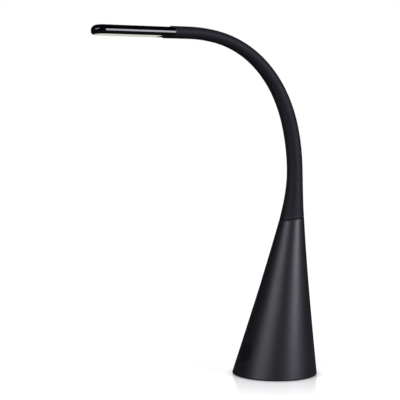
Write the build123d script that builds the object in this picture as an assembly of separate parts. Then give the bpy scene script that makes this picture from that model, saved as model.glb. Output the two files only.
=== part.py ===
from build123d import *

import os
from dataclasses import dataclass
from math import atan, cos, degrees, radians, sin, tan

# Gooseneck desk lamp: a leaning cone base with a cast weight inside, a silicone-sleeved
# gooseneck that tapers as it arches forward, and a slim bar head with a diffuser below.
#
# Millimetres and degrees.  +Z is up and the origin is the centre of the base's underside.
# The neck arches in the XZ plane: the head reaches towards -X and the inlet faces +X.
# A heading is the neck's direction, measured from straight up (0) towards the front (90).

# ---- Base cone ----
FOOT_RADIUS = 53.3          # of the cone where it would meet the table
SEAM_RADIUS = 15.55         # where the sleeve takes over from the cone
SEAM_HEIGHT = 194.0
SEAM_SETBACK = 26.74        # how far the cone leans back at the seam
SEAM_TILT = 8.5             # the joint line rises towards the back
FOOT_SLOPE = -0.207         # radius lost per millimetre of height, at the table
SEAM_SLOPE = -0.166         # the same at the seam, so the flank is slightly hollow
SHELL_WALL = 2.4
SHELL_LIFT = 0.8            # daylight under the shell's rim
RIM_ROUNDING = 0.8
SEAM_CHAMFER = 0.35

# ---- Base floor, ballast and circuit ----
PLATE_CLEARANCE = 0.4
PLATE_THICKNESS = 2.0
PLATE_RECESS = 0.4          # plate above the shell's rim
FOOT_PAD_GAP = 1.2          # from the pad to the heads of the plate's screws
FOOT_PAD_ROUNDING = 0.5
WEIGHT_INSET = 11.3         # from the cone's foot to the weight
WEIGHT_THICKNESS = 17.0
WEIGHT_EDGE = 1.5
WEIGHT_TOUCH_GAP = 3.6      # from the weight's front flat to the touch board's back
WEIGHT_NOTCH_WIDTH = 17.0   # rear slot for the power jack
WEIGHT_NOTCH_GAP = 4.2      # from the slot's end to the jack's lead
WEIGHT_BOSS_FIT = 1.0       # around the shell's bosses
BOARD_STANDOFF = 4.0
STANDOFF_RADIUS = 3.2
BOARD_LENGTH = 48.0
BOARD_WIDTH = 34.0
BOARD_THICKNESS = 1.6
BOARD_SETBACK = -3.0        # centre of the driver board along X
BOARD_HOLE_INSET = 4.0
BOARD_EDGE = 1.0            # from a connector to the board's end
CONNECTOR_HEIGHT = 6.0
COMPONENT_SIDE = 10.4       # from the board's middle to the components either side
COMPONENT_FRONT = 5.0       # from the board's centre to the components in front
COMPONENT_REAR = 10.0       # and to the ones behind
CHOKE_RADIUS = 4.5
CHOKE_HEIGHT = 6.0
CAPACITOR_RADIUS = 4.0
CAPACITOR_HEIGHT = 11.0
CHIP_LENGTH = 9.0
CHIP_WIDTH = 6.0
CHIP_HEIGHT = 1.6
DIODE_LENGTH = 6.0
DIODE_WIDTH = 4.0
DIODE_HEIGHT = 2.4
SHELL_BOSS_RADIUS = 3.6
SHELL_BOSS_INSET = 7.7      # from the cone's foot to a boss's axis
SHELL_BOSS_HEIGHT = 20.0
SHELL_BOSS_ANGLES = (52, 128, 232, 308)
WEIGHT_SCREW_CIRCLE = 22.0
WEIGHT_SCREW_ANGLES = (60, 180, 300)

# ---- Touch switch in the front of the cone ----
TOUCH_RADIUS = 11.5
TOUCH_HEIGHT = 30.0
TOUCH_FIT = 0.1
TOUCH_THICKNESS = 2.8       # at the middle of the cap
TOUCH_SEAT_DEPTH = 6.5      # from the flank to the board's seat
TOUCH_SEAT_WIDTH = 2.4      # the cap's seat around the window for the foam
TOUCH_BOSS_MARGIN = 3.1     # around the cap
TOUCH_BOARD_MARGIN = 2.7
TOUCH_BOARD_THICKNESS = 1.2
TOUCH_SCREW_MARGIN = 1.4
FOAM_FIT = 0.4

# ---- Power inlet in the back of the cone ----
INLET_HEIGHT = 13.0
WELL_RADIUS = 5.0
WELL_DEPTH = 5.0
WELL_WALL = 2.4
JACK_WIDTH = 11.0
JACK_HEIGHT = 10.0
JACK_LENGTH = 13.0
JACK_BORE_RADIUS = 3.15
JACK_BORE_DEPTH = 9.0
JACK_PIN_RADIUS = 1.0
JACK_PIN_RECESS = 0.8
JACK_TAIL = 2.0
JACK_FIT = 0.1
POCKET_WALL = 1.4
POCKET_LENGTH = 9.0

# ---- Neck ----
SEAM_HEADING = -7.8         # the neck leaves the cone leaning back
ROOT_LENGTH = 43.4          # stiff foot of the sleeve, up to the first pivot
ROOT_BEND = 5.0
LINK_LENGTH = 39.0
LINK_BENDS = (8.5, 10.0, 14.0, 16.5, 17.5, 17.0, 11.7)  # as the neck stands at rest
NECK_FOOT_RADIUS = 10.05
NECK_TIP_RADIUS = 7.35
SLEEVE_RUN_IN = 6.0         # cone below the seam that the sleeve's form grows out of
TAPER_START = 95.0          # distance along the neck from the seam
TAPER_END = 305.0
CORE_RADIUS = 5.0
CORE_BORE = 2.4
SLEEVE_FIT = 0.1
LEAD_RADIUS = 1.7
BALL_RATIO = 1.18           # ball radius over sleeve radius at a pivot
BALL_GAP = 0.4

# ---- Fixing of the neck's foot ----
WEB_THICKNESS = 7.0
SPOT_FACE_DEPTH = 2.5
FLANGE_RADIUS = 8.0
FLANGE_THICKNESS = 3.0
FLANGE_FIT = 0.4
THREAD_RADIUS = 5.0
THREAD_FIT = 0.05
THREAD_HOLE_FIT = 0.3
CUP_RADIUS = 6.4
CUP_LENGTH = 11.5
CUP_FIT = 0.2
WASHER_RADIUS = 9.0
WASHER_THICKNESS = 1.2
NUT_ACROSS_FLATS = 15.0
NUT_THICKNESS = 5.0
THREAD_TAIL = 1.5

# ---- Head ----
HEAD_HALF_WIDTH = 12.0
HEAD_HEIGHT = 10.9
WRIST_LENGTH = 24.1         # from the last pivot to the cover's rear end
HEAD_LENGTH = 101.9
HEAD_WALL = 1.6
TOP_ROUNDING = 6.2
BOTTOM_ROUNDING = 3.6
PARTING_DROP = 2.6          # cover's lower edge below the head's middle
TRAY_RIM = 1.0
TRAY_RIM_RISE = 1.6
TRAY_FIT = 0.1
COLLAR_LENGTH = 15.3        # from the cover's rear end to the collar's rounded end
COLLAR_ROUNDING = 6.4
COLLAR_FIT = 0.15
WINDOW_HALF_WIDTH = 9.0
WINDOW_INSET = 16.1         # from the cover's rear end to the diffuser
WINDOW_CORNER = 2.0
DIFFUSER_FIT = 0.1
DIFFUSER_LIP = 0.9
DIFFUSER_LIP_THICKNESS = 1.0
DIFFUSER_RECESS = 0.15
SPREADER_THICKNESS = 1.2
SPREADER_EDGE = 0.1         # inside the flat of the cover's ceiling
LED_BOARD_THICKNESS = 1.0
LED_BOARD_EDGE = 0.2        # inside the spreader's outline
LED_LENGTH = 3.5
LED_WIDTH = 2.8
LED_HEIGHT = 0.7
LED_COUNT = 12
LED_FIT = 0.5               # from the first LED to the channel's rear end
BOND_LINE = 0.05
REFLECTOR_HALF_WIDTH = 9.0
REFLECTOR_LIP = 0.8
REFLECTOR_THROAT = 5.2
CONNECTOR_ZONE = 5.5        # rear end of the LED board, left to its connector
LED_CONNECTOR_LENGTH = 4.0
LED_CONNECTOR_HEIGHT = 2.6
LED_BOARD_INSET = 0.9
FERRULE_CUP_WALL = 1.1
FERRULE_CUP_LENGTH = 7.0
FERRULE_CUP_BACK = 14.6     # from the last pivot to the cup's mouth
SPIGOT_RADIUS = 3.4
SPIGOT_LENGTH = 14.0
GRUB_RADIUS = 1.5
GRUB_LENGTH = 3.0
GRUB_OFFSET = 4.5           # from the cover's rear end
HEAD_SCREW_OFFSET = 9.0     # from the cover's rear end
HEAD_SCREW_SIDE = 8.8
HEAD_BOSS_RADIUS = 1.8
HEAD_SCREW_RADIUS = 0.8
HEAD_SCREW_HEAD = 1.5
HEAD_SCREW_LENGTH = 6.0
HEAD_SCREW_HEAD_HEIGHT = 0.9
HEAD_SCREW_SINK = 1.5       # from the tray's underside to the head's seat

# ---- Screws and small fits ----
SCREW_FIT = 0.05
SEAT_GAP = 0.05
OVERCUT = 1.0               # how far a cut runs past the face that it opens
PAN_ROUNDING = 0.45         # of a pan head's height
PLATE_SCREW_RADIUS = 1.45
PLATE_SCREW_LENGTH = 12.0
PLATE_SCREW_HEAD = 2.9
WEIGHT_SCREW_RADIUS = 2.0
WEIGHT_SCREW_LENGTH = 12.0
WEIGHT_SCREW_HEAD = 3.8
BOARD_SCREW_RADIUS = 1.2
BOARD_SCREW_LENGTH = 5.0
BOARD_SCREW_HEAD = 2.4
BOARD_SCREW_HEAD_HEIGHT = 1.4
TOUCH_SCREW_RADIUS = 0.85
TOUCH_SCREW_LENGTH = 3.4
TOUCH_SCREW_HEAD = 1.5
TOUCH_SCREW_HEAD_HEIGHT = 1.0
CONNECTOR_LENGTH = 6.0
CONNECTOR_WIDTH = 8.0
JACK_LEAD_RADIUS = 1.0
TOUCH_LEAD_RADIUS = 0.8
LEAD_GAP = 0.4              # a lead's end stands off what it is soldered to
JACK_LEAD_SHARE = 0.38      # its rise, between the board's end and the jack's tail

LOW = (Align.CENTER, Align.CENTER, Align.MIN)
HIGH = (Align.CENTER, Align.CENTER, Align.MAX)

os.makedirs("parts", exist_ok=True)


def save(name, shape):
    """Write one sub-part under its own name."""
    shape.label = name
    export_step(shape, f"parts/{name}.step")


def disc(plane, radius, start, end):
    """A cylinder on a plane's normal, between two heights over the plane."""
    return plane * Pos(0, 0, start) * Cylinder(radius, end - start, align=LOW)


def group(solids):
    """Several like solids that share one name."""
    return Compound(children=[solid.solid() for solid in solids])


def screw(head_radius, head_height, shank_radius, shank_length):
    """A pan-head screw with its head's seat at the origin and its shank pointing up."""
    head = Cylinder(head_radius, head_height, align=HIGH)
    top_edges = head.edges().group_by(Axis.Z)[0]
    head = fillet(top_edges, PAN_ROUNDING * head_height)
    return head + Cylinder(shank_radius, shank_length, align=LOW)


def countersunk_screw(head_radius, shank_radius, length):
    """A countersunk screw with its flat head at the origin and its shank pointing up."""
    head = Cone(head_radius, shank_radius, head_radius - shank_radius, align=LOW)
    return head + Cylinder(shank_radius, length, align=LOW)


# =====================================================================================
# The outer form: cone and neck as one flowing line
# =====================================================================================

def cone_radius(height):
    """Radius of the base at a height: a cubic that meets both slopes."""
    t = height / SEAM_HEIGHT
    foot_fall = FOOT_SLOPE * SEAM_HEIGHT
    seam_fall = SEAM_SLOPE * SEAM_HEIGHT
    return ((2 * t**3 - 3 * t**2 + 1) * FOOT_RADIUS + (t**3 - 2 * t**2 + t) * foot_fall
            + (3 * t**2 - 2 * t**3) * SEAM_RADIUS + (t**3 - t**2) * seam_fall)


def cone_centre(height):
    """How far back the base's centre lies at a height."""
    return SEAM_SETBACK * height / SEAM_HEIGHT


def cone_ring(height, inset=0.0):
    """The base's level outline at a height."""
    return Pos(cone_centre(height), 0, height) * Circle(cone_radius(height) - inset)


FLARE_LENGTH = 2 * (SEAM_RADIUS - NECK_FOOT_RADIUS) / -SEAM_SLOPE   # leaves the cone in tangent


def sleeve_radius(distance):
    """Outer radius of the sleeve at a distance along the neck from the seam."""
    flare = max(0.0, 1 - distance / FLARE_LENGTH)
    t = min(1.0, max(0.0, (distance - TAPER_START) / (TAPER_END - TAPER_START)))
    taper = t * t * (3 - 2 * t)
    return (NECK_FOOT_RADIUS + (SEAM_RADIUS - NECK_FOOT_RADIUS) * flare**2
            - (NECK_FOOT_RADIUS - NECK_TIP_RADIUS) * taper)


@dataclass(frozen=True)
class Span:
    """One stretch of the neck's centreline: an arc in the XZ plane."""
    x: float
    z: float
    heading: float
    start: float            # distance of its first point along the neck
    length: float
    bend: float

    def heading_at(self, distance):
        return self.heading + self.bend * distance / self.length

    def point(self, distance):
        """The centreline's point, at a distance along this span."""
        half_turn = radians(self.bend * distance / self.length) / 2
        chord = distance * (sin(half_turn) / half_turn if half_turn else 1)
        middle = radians(self.heading) + half_turn
        return Vector(self.x - chord * sin(middle), 0, self.z + chord * cos(middle))

    def plane(self, distance):
        """The plane across the neck, with its normal along the neck."""
        turn = radians(self.heading_at(distance))
        return Plane(self.point(distance), x_dir=(0, 1, 0), z_dir=(-sin(turn), 0, cos(turn)))

    def path(self, start, end):
        ends = self.point(start), self.point(end)
        if abs(self.bend) < 0.01:
            return Line(*ends)
        return ThreePointArc(ends[0], self.point((start + end) / 2), ends[1])

    def tube(self, radius, start, end):
        """A round bar of one radius along this span."""
        return sweep(self.plane(start) * Circle(radius), path=self.path(start, end))

    def ring(self, distance):
        return self.plane(distance) * Circle(sleeve_radius(self.start + distance))


def neck_spans():
    """The neck's stiff foot and then its links, each starting where the last one ends."""
    spans = [Span(SEAM_SETBACK, SEAM_HEIGHT, SEAM_HEADING, 0.0, ROOT_LENGTH, ROOT_BEND)]
    for bend in LINK_BENDS:
        last = spans[-1]
        foot = last.point(last.length)
        spans.append(Span(foot.X, foot.Z, last.heading + last.bend, last.start + last.length,
                          LINK_LENGTH, bend))
    return spans


SPANS = neck_spans()
ROOT = SPANS[0]
LINKS = SPANS[1:]


def ball_radius(distance):
    """Radius of the ball that closes a link at the pivot this far along the neck."""
    return BALL_RATIO * sleeve_radius(distance)


def end_in_ball(blank, span):
    """Round a link's far end to a ball about the pivot there."""
    pivot = span.plane(span.length)
    radius = ball_radius(span.start + span.length)
    beyond = pivot * Box(6 * radius, 6 * radius, 3 * radius, align=LOW) - pivot * Sphere(radius)
    return blank - beyond


def start_in_socket(blank, plane, distance):
    """Hollow a link's near end to a socket about the pivot there."""
    return blank - plane * Sphere(ball_radius(distance) + BALL_GAP)


def ball_overrun(span):
    """Length past the span's end that its ball needs."""
    return ball_radius(span.start + span.length) + OVERCUT


# =====================================================================================
# Base
# =====================================================================================

SEAM_CENTRE = Vector(SEAM_SETBACK, 0, SEAM_HEIGHT)
NECK_FOOT = ROOT.plane(0)                                   # normal along the neck's foot
SEAM = Plane(SEAM_CENTRE, x_dir=(0, 1, 0),
             z_dir=(-sin(radians(SEAM_TILT)), 0, cos(radians(SEAM_TILT))))
SEAM_RISE = SEAM_RADIUS * tan(radians(SEAM_TILT)) + OVERCUT     # how far the tilted seam strays
HUGE = 4 * FOOT_RADIUS
PLATE_BOTTOM = SHELL_LIFT + PLATE_RECESS
PLATE_TOP = PLATE_BOTTOM + PLATE_THICKNESS
SHELL_BOSS_CIRCLE = FOOT_RADIUS - SHELL_BOSS_INSET
FOOT_PAD_RADIUS = SHELL_BOSS_CIRCLE - PLATE_SCREW_HEAD - FOOT_PAD_GAP
WEIGHT_RADIUS = FOOT_RADIUS - WEIGHT_INSET
WEIGHT_TOP = PLATE_TOP + WEIGHT_THICKNESS
BOARD_BOTTOM = WEIGHT_TOP + BOARD_STANDOFF
BOARD_TOP = BOARD_BOTTOM + BOARD_THICKNESS
CONNECTOR_TOP = BOARD_TOP + CONNECTOR_HEIGHT
WEB_UNDERSIDE = -(SPOT_FACE_DEPTH + WEB_THICKNESS)          # from the seam, along the neck's foot


def flank_plane(height, side):
    """The plane that touches the cone's front (side -1) or back (side +1) flank."""
    step = SEAM_HEIGHT / 400
    here, above = (cone_centre(h) + side * cone_radius(h) for h in (height, height + step))
    lean = atan(side * (here - above) / step)
    return Plane((here, 0, height), x_dir=(0, 1, 0), z_dir=(side * cos(lean), 0, sin(lean)))


TOUCH = flank_plane(TOUCH_HEIGHT, -1)
INLET = flank_plane(INLET_HEIGHT, +1)
JACK_FACE = -WELL_DEPTH
JACK_END = JACK_FACE - JACK_LENGTH
TOUCH_WINDOW_RADIUS = TOUCH_RADIUS - TOUCH_SEAT_WIDTH
TOUCH_BOSS_RADIUS = TOUCH_RADIUS + TOUCH_BOSS_MARGIN
TOUCH_BOARD_RADIUS = TOUCH_RADIUS + TOUCH_BOARD_MARGIN
TOUCH_SCREW_REACH = TOUCH_RADIUS + TOUCH_SCREW_MARGIN
TOUCH_BACK = (TOUCH * Pos(0, 0, -TOUCH_SEAT_DEPTH - TOUCH_BOARD_THICKNESS)).position
JACK_LEAD_START = (INLET * Pos(0, 0, JACK_END - JACK_TAIL - LEAD_GAP)).position
BOARD_REAR = BOARD_SETBACK + BOARD_LENGTH / 2
JACK_LEAD_RISE = BOARD_REAR + JACK_LEAD_SHARE * (JACK_LEAD_START.X - BOARD_REAR)


def weight_front():
    """Where the weight's front is cut flat, clear of the leaning touch board at its top."""
    lean = TOUCH.z_dir.Z / -TOUCH.z_dir.X
    return TOUCH_BACK.X + (WEIGHT_TOP - TOUCH_BACK.Z) * lean + WEIGHT_TOUCH_GAP


def weight_notch():
    """Where the weight's rear slot begins, in front of the jack's lead."""
    return JACK_LEAD_RISE - JACK_LEAD_RADIUS - WEIGHT_NOTCH_GAP


def cone_form(inset=0.0):
    """The leaning cone from the table to just above the seam."""
    spans = 5
    top = SEAM_HEIGHT + SEAM_RISE
    return loft([cone_ring(top * step / spans, inset) for step in range(spans + 1)])


def shell_boss_places():
    """Centres of the bosses that take the plate's screws, around the leaning cone."""
    for angle in SHELL_BOSS_ANGLES:
        yield SHELL_BOSS_CIRCLE * cos(radians(angle)), SHELL_BOSS_CIRCLE * sin(radians(angle))


def shell_bosses():
    """Screw bosses on the shell's wall, each tied to it by a web."""
    bosses = []
    for x, y in shell_boss_places():
        turn = degrees(atan(y / x)) + (180 if x < 0 else 0)
        boss = Pos(x, y, PLATE_TOP) * Cylinder(SHELL_BOSS_RADIUS, SHELL_BOSS_HEIGHT, align=LOW)
        web = (Pos(x, y, PLATE_TOP) * Rot(0, 0, turn)
               * Box(4 * SHELL_BOSS_RADIUS, SHELL_WALL, SHELL_BOSS_HEIGHT,
                     align=(Align.MIN, Align.CENTER, Align.MIN)))
        bosses.append(boss + web)
    return bosses


def base_shell():
    outer = cone_form()
    outer -= SEAM * Box(HUGE, HUGE, HUGE, align=LOW)
    outer -= Pos(0, 0, SHELL_LIFT) * Box(HUGE, HUGE, HUGE, align=HIGH)
    outer = fillet(outer.edges().group_by(Axis.Z)[0], RIM_ROUNDING)
    outer = chamfer(outer.edges().group_by(Axis.Z)[-1], SEAM_CHAMFER)

    hollow = cone_form(SHELL_WALL)
    hollow -= NECK_FOOT * Pos(0, 0, WEB_UNDERSIDE) * Box(HUGE, HUGE, HUGE, align=LOW)
    shell = outer - hollow

    additions = shell_bosses()
    additions.append(disc(TOUCH, TOUCH_BOSS_RADIUS, -TOUCH_SEAT_DEPTH, TOUCH_SEAT_DEPTH))
    additions.append(disc(INLET, WELL_RADIUS + WELL_WALL, JACK_FACE, WELL_DEPTH))
    additions.append(INLET * Pos(0, 0, JACK_FACE) * Box(
        JACK_WIDTH + 2 * (JACK_FIT + POCKET_WALL), JACK_HEIGHT + 2 * (JACK_FIT + POCKET_WALL),
        POCKET_LENGTH, align=HIGH))
    for addition in additions:
        shell += addition & outer

    shell -= disc(NECK_FOOT, FLANGE_RADIUS + FLANGE_FIT, -SPOT_FACE_DEPTH, SEAM_RADIUS)
    shell -= disc(NECK_FOOT, THREAD_RADIUS + THREAD_HOLE_FIT, WEB_UNDERSIDE - OVERCUT, 0)
    shell -= disc(TOUCH, TOUCH_RADIUS + TOUCH_FIT, -TOUCH_THICKNESS, TOUCH_SEAT_DEPTH)
    shell -= disc(TOUCH, TOUCH_WINDOW_RADIUS, -TOUCH_SEAT_DEPTH, 0)
    shell -= disc(INLET, WELL_RADIUS, JACK_FACE, WELL_DEPTH)
    shell -= INLET * Pos(0, 0, JACK_FACE) * Box(
        JACK_WIDTH + 2 * JACK_FIT, JACK_HEIGHT + 2 * JACK_FIT, 2 * POCKET_LENGTH, align=HIGH)
    for x, y in shell_boss_places():
        shell -= Pos(x, y, PLATE_TOP) * Cylinder(
            PLATE_SCREW_RADIUS + SCREW_FIT, PLATE_SCREW_LENGTH, align=LOW)
    for side in (-1, 1):
        shell -= TOUCH * Pos(side * TOUCH_SCREW_REACH, 0, -TOUCH_SEAT_DEPTH) * Cylinder(
            TOUCH_SCREW_RADIUS + SCREW_FIT, TOUCH_SCREW_LENGTH, align=LOW)
    return shell


def weight_screw_places():
    for angle in WEIGHT_SCREW_ANGLES:
        yield WEIGHT_SCREW_CIRCLE * cos(radians(angle)), WEIGHT_SCREW_CIRCLE * sin(radians(angle))


def board_hole_places():
    for along in (-1, 1):
        for across in (-1, 1):
            yield (BOARD_SETBACK + along * (BOARD_LENGTH / 2 - BOARD_HOLE_INSET),
                   across * (BOARD_WIDTH / 2 - BOARD_HOLE_INSET))


def sink_hole(head_radius, shank_radius):
    """The hole in the floor plate for a countersunk screw, from the plate's underside."""
    sink = head_radius - shank_radius
    return (Cone(head_radius + SCREW_FIT, shank_radius + SCREW_FIT, sink, align=LOW)
            + Cylinder(shank_radius + SCREW_FIT, PLATE_THICKNESS, align=LOW))


def base_plate():
    """The floor plate inside the shell's rim."""
    radius = cone_radius(PLATE_TOP) - SHELL_WALL - PLATE_CLEARANCE
    plate = Pos(cone_centre(PLATE_TOP), 0, PLATE_BOTTOM) * Cylinder(radius, PLATE_THICKNESS, align=LOW)
    for x, y in shell_boss_places():
        plate -= Pos(x, y, PLATE_BOTTOM) * sink_hole(PLATE_SCREW_HEAD, PLATE_SCREW_RADIUS)
    for x, y in weight_screw_places():
        plate -= Pos(x, y, PLATE_BOTTOM) * sink_hole(WEIGHT_SCREW_HEAD, WEIGHT_SCREW_RADIUS)
    return plate


def foot_pad():
    """The soft pad that the lamp stands on, bonded under the plate inside its outer screws."""
    pad = Cylinder(FOOT_PAD_RADIUS, PLATE_BOTTOM, align=LOW)
    return fillet(pad.edges().group_by(Axis.Z)[0], FOOT_PAD_ROUNDING)


def base_weight():
    """The cast disc: flat in front for the touch board, slotted behind for the jack."""
    weight = Pos(0, 0, PLATE_TOP) * Cylinder(WEIGHT_RADIUS, WEIGHT_THICKNESS, align=LOW)
    weight = chamfer(weight.edges().group_by(Axis.Z)[-1], WEIGHT_EDGE)
    weight -= Pos(weight_front(), 0, 0) * Box(
        HUGE, HUGE, HUGE, align=(Align.MAX, Align.CENTER, Align.CENTER))
    weight -= Pos(weight_notch(), 0, 0) * Box(
        HUGE, WEIGHT_NOTCH_WIDTH, HUGE, align=(Align.MIN, Align.CENTER, Align.CENTER))
    for x, y in board_hole_places():
        weight += Pos(x, y, WEIGHT_TOP) * Cylinder(STANDOFF_RADIUS, BOARD_STANDOFF, align=LOW)
        weight -= Pos(x, y, BOARD_BOTTOM) * Cylinder(
            BOARD_SCREW_RADIUS + SCREW_FIT, BOARD_SCREW_LENGTH, align=HIGH)
    for x, y in shell_boss_places():
        weight -= Pos(x, y, PLATE_TOP) * Cylinder(
            SHELL_BOSS_RADIUS + WEIGHT_BOSS_FIT, WEIGHT_THICKNESS, align=LOW)
    for x, y in weight_screw_places():
        weight -= Pos(x, y, PLATE_TOP) * Cylinder(
            WEIGHT_SCREW_RADIUS + SCREW_FIT, WEIGHT_SCREW_LENGTH, align=LOW)
    return weight


def driver_board():
    board = Pos(BOARD_SETBACK, 0, BOARD_BOTTOM) * Box(
        BOARD_LENGTH, BOARD_WIDTH, BOARD_THICKNESS, align=LOW)
    for x, y in board_hole_places():
        board -= Pos(x, y, BOARD_BOTTOM) * Cylinder(
            BOARD_SCREW_RADIUS + SCREW_FIT, BOARD_THICKNESS, align=LOW)
    return board


def lead_arrival():
    """Where the neck's axis, run down from the seam, meets the connector's top."""
    drop = SEAM_HEIGHT - CONNECTOR_TOP
    return SEAM_SETBACK + drop * tan(radians(SEAM_HEADING))


CONNECTOR_REACH = BOARD_LENGTH / 2 - BOARD_EDGE - CONNECTOR_LENGTH / 2
JACK_CONNECTOR_X = BOARD_SETBACK + CONNECTOR_REACH
TOUCH_CONNECTOR_X = BOARD_SETBACK - CONNECTOR_REACH


def board_connectors():
    """Sockets on the driver board for the jack, the neck's lead and the touch board."""
    places = (JACK_CONNECTOR_X, lead_arrival(), TOUCH_CONNECTOR_X)
    return group(Pos(x, 0, BOARD_TOP) * Box(
        CONNECTOR_LENGTH, CONNECTOR_WIDTH, CONNECTOR_HEIGHT, align=LOW) for x in places)


def driver_components():
    """Choke, smoothing capacitor, dimmer chip and diode on the driver board."""
    front = BOARD_SETBACK - COMPONENT_FRONT
    rear = BOARD_SETBACK + COMPONENT_REAR
    return group((
        Pos(rear, COMPONENT_SIDE, BOARD_TOP) * Cylinder(CHOKE_RADIUS, CHOKE_HEIGHT, align=LOW),
        Pos(front, COMPONENT_SIDE, BOARD_TOP) * Cylinder(CAPACITOR_RADIUS, CAPACITOR_HEIGHT, align=LOW),
        Pos(front, -COMPONENT_SIDE, BOARD_TOP) * Box(CHIP_LENGTH, CHIP_WIDTH, CHIP_HEIGHT, align=LOW),
        Pos(rear, -COMPONENT_SIDE, BOARD_TOP) * Box(DIODE_LENGTH, DIODE_WIDTH, DIODE_HEIGHT, align=LOW)))


def on_touch(side, height):
    return TOUCH * Pos(side * TOUCH_SCREW_REACH, 0, height)


def touch_cap():
    """The touch switch's cap, flush with the cone around it."""
    return disc(TOUCH, TOUCH_RADIUS, -TOUCH_THICKNESS, TOUCH_SEAT_DEPTH) & cone_form()


def touch_board():
    seat = -TOUCH_SEAT_DEPTH
    board = disc(TOUCH, TOUCH_BOARD_RADIUS, seat - TOUCH_BOARD_THICKNESS, seat)
    for side in (-1, 1):
        board -= on_touch(side, seat) * Cylinder(
            TOUCH_SCREW_RADIUS + SCREW_FIT, TOUCH_BOARD_THICKNESS, align=HIGH)
    return board


def power_jack():
    """The jack's moulded body, with the barrel's bore facing out through the well."""
    body = INLET * Pos(0, 0, JACK_FACE) * Box(JACK_WIDTH, JACK_HEIGHT, JACK_LENGTH, align=HIGH)
    body -= disc(INLET, JACK_BORE_RADIUS, JACK_FACE - JACK_BORE_DEPTH, JACK_FACE)
    return body - disc(INLET, JACK_PIN_RADIUS, JACK_END, JACK_FACE)


def jack_pin():
    """The jack's centre pin, through to its solder tail."""
    return disc(INLET, JACK_PIN_RADIUS, JACK_END - JACK_TAIL, JACK_FACE - JACK_PIN_RECESS)


def neck_ferrule():
    """Turned ferrule: a cup for the gooseneck, a flange on the shell, a thread through it."""
    seat = -SPOT_FACE_DEPTH
    flange_top = seat + FLANGE_THICKNESS
    tail = WEB_UNDERSIDE - WASHER_THICKNESS - NUT_THICKNESS - THREAD_TAIL
    ferrule = disc(NECK_FOOT, FLANGE_RADIUS, seat, flange_top)
    ferrule += disc(NECK_FOOT, THREAD_RADIUS, tail, seat)
    ferrule += disc(NECK_FOOT, CUP_RADIUS, flange_top, flange_top + CUP_LENGTH)
    ferrule -= disc(NECK_FOOT, CORE_RADIUS + CUP_FIT, flange_top, flange_top + CUP_LENGTH)
    return ferrule - disc(NECK_FOOT, CORE_BORE, tail, flange_top)


def ferrule_washer():
    lower = WEB_UNDERSIDE - WASHER_THICKNESS
    washer = disc(NECK_FOOT, WASHER_RADIUS, lower, WEB_UNDERSIDE)
    return washer - disc(NECK_FOOT, THREAD_RADIUS + THREAD_HOLE_FIT, lower, WEB_UNDERSIDE)


def ferrule_nut():
    top = WEB_UNDERSIDE - WASHER_THICKNESS
    outline = RegularPolygon(NUT_ACROSS_FLATS / 2, 6, major_radius=False)
    nut = NECK_FOOT * Pos(0, 0, top - NUT_THICKNESS) * extrude(outline, NUT_THICKNESS)
    return nut - disc(NECK_FOOT, THREAD_RADIUS + THREAD_FIT, top - NUT_THICKNESS, top)


def sleeve_root():
    """The sleeve's flared foot, from the seam to the first pivot's ball."""
    end = ROOT.length + ball_overrun(ROOT)
    steps = 4
    first = SLEEVE_RUN_IN / 2
    rings = [cone_ring(SEAM_HEIGHT - SLEEVE_RUN_IN), cone_ring(SEAM_HEIGHT - first)]
    rings += [ROOT.ring(first + (end - first) * step / steps) for step in range(steps + 1)]
    sleeve = loft(rings)
    sleeve -= SEAM * Box(HUGE, HUGE, HUGE, align=HIGH)
    sleeve -= ROOT.tube(CORE_RADIUS + SLEEVE_FIT, 0, end)
    flange_top = FLANGE_THICKNESS - SPOT_FACE_DEPTH
    sleeve -= disc(NECK_FOOT, FLANGE_RADIUS + FLANGE_FIT, -SEAM_RADIUS, flange_top + CUP_FIT)
    sleeve -= disc(NECK_FOOT, CUP_RADIUS + CUP_FIT, 0, flange_top + CUP_LENGTH + CUP_FIT)
    return end_in_ball(sleeve, ROOT)


def core_root():
    """The gooseneck's foot, standing in the ferrule's cup."""
    start = FLANGE_THICKNESS - SPOT_FACE_DEPTH + SEAT_GAP
    end = ROOT.length + ball_overrun(ROOT)
    core = ROOT.tube(CORE_RADIUS, start, end) - ROOT.tube(CORE_BORE, start, end)
    return end_in_ball(core, ROOT)


def lead_root():
    """The neck's lead, from the driver board's connector up to the first pivot."""
    end = ROOT.length + ball_overrun(ROOT)
    lean = radians(SEAM_HEADING)
    fall = (SEAM_HEIGHT - CONNECTOR_TOP - SEAT_GAP) / cos(lean) - LEAD_RADIUS * abs(tan(lean))
    foot = (NECK_FOOT * Pos(0, 0, -fall)).position
    path = Line(foot, SEAM_CENTRE) + ROOT.path(0, end)
    start_plane = Plane(foot, x_dir=(0, 1, 0), z_dir=NECK_FOOT.z_dir)
    return end_in_ball(sweep(start_plane * Circle(LEAD_RADIUS), path=path), ROOT)


def inner_lead(points, radius):
    """A short lead inside the base, bent through points in the XZ plane."""
    route = [Vector(x, 0, z) for x, z in points]
    runs = [(b - a).length for a, b in zip(route, route[1:])]
    radii = []
    for i in range(1, len(route) - 1):
        turn = (route[i] - route[i - 1]).get_angle(route[i + 1] - route[i])
        radii.append(0.45 * min(runs[i - 1], runs[i]) / tan(radians(turn) / 2))
    path = FilletPolyline(*route, radius=radii)
    start_plane = Plane(route[0], x_dir=(0, 1, 0), z_dir=route[1] - route[0])
    return sweep(start_plane * Circle(radius), path=path)


def jack_lead():
    """From the jack's tail up past the board's edge and into its connector."""
    tail, rise = JACK_LEAD_START, JACK_LEAD_RISE
    mouth = JACK_CONNECTOR_X + CONNECTOR_LENGTH / 2 + LEAD_GAP
    level = BOARD_TOP + CONNECTOR_HEIGHT / 2
    route = ((tail.X, tail.Z), (rise + 0.4, tail.Z + 2.4), (rise, level - 1), (mouth, level))
    return inner_lead(route, JACK_LEAD_RADIUS)


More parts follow.
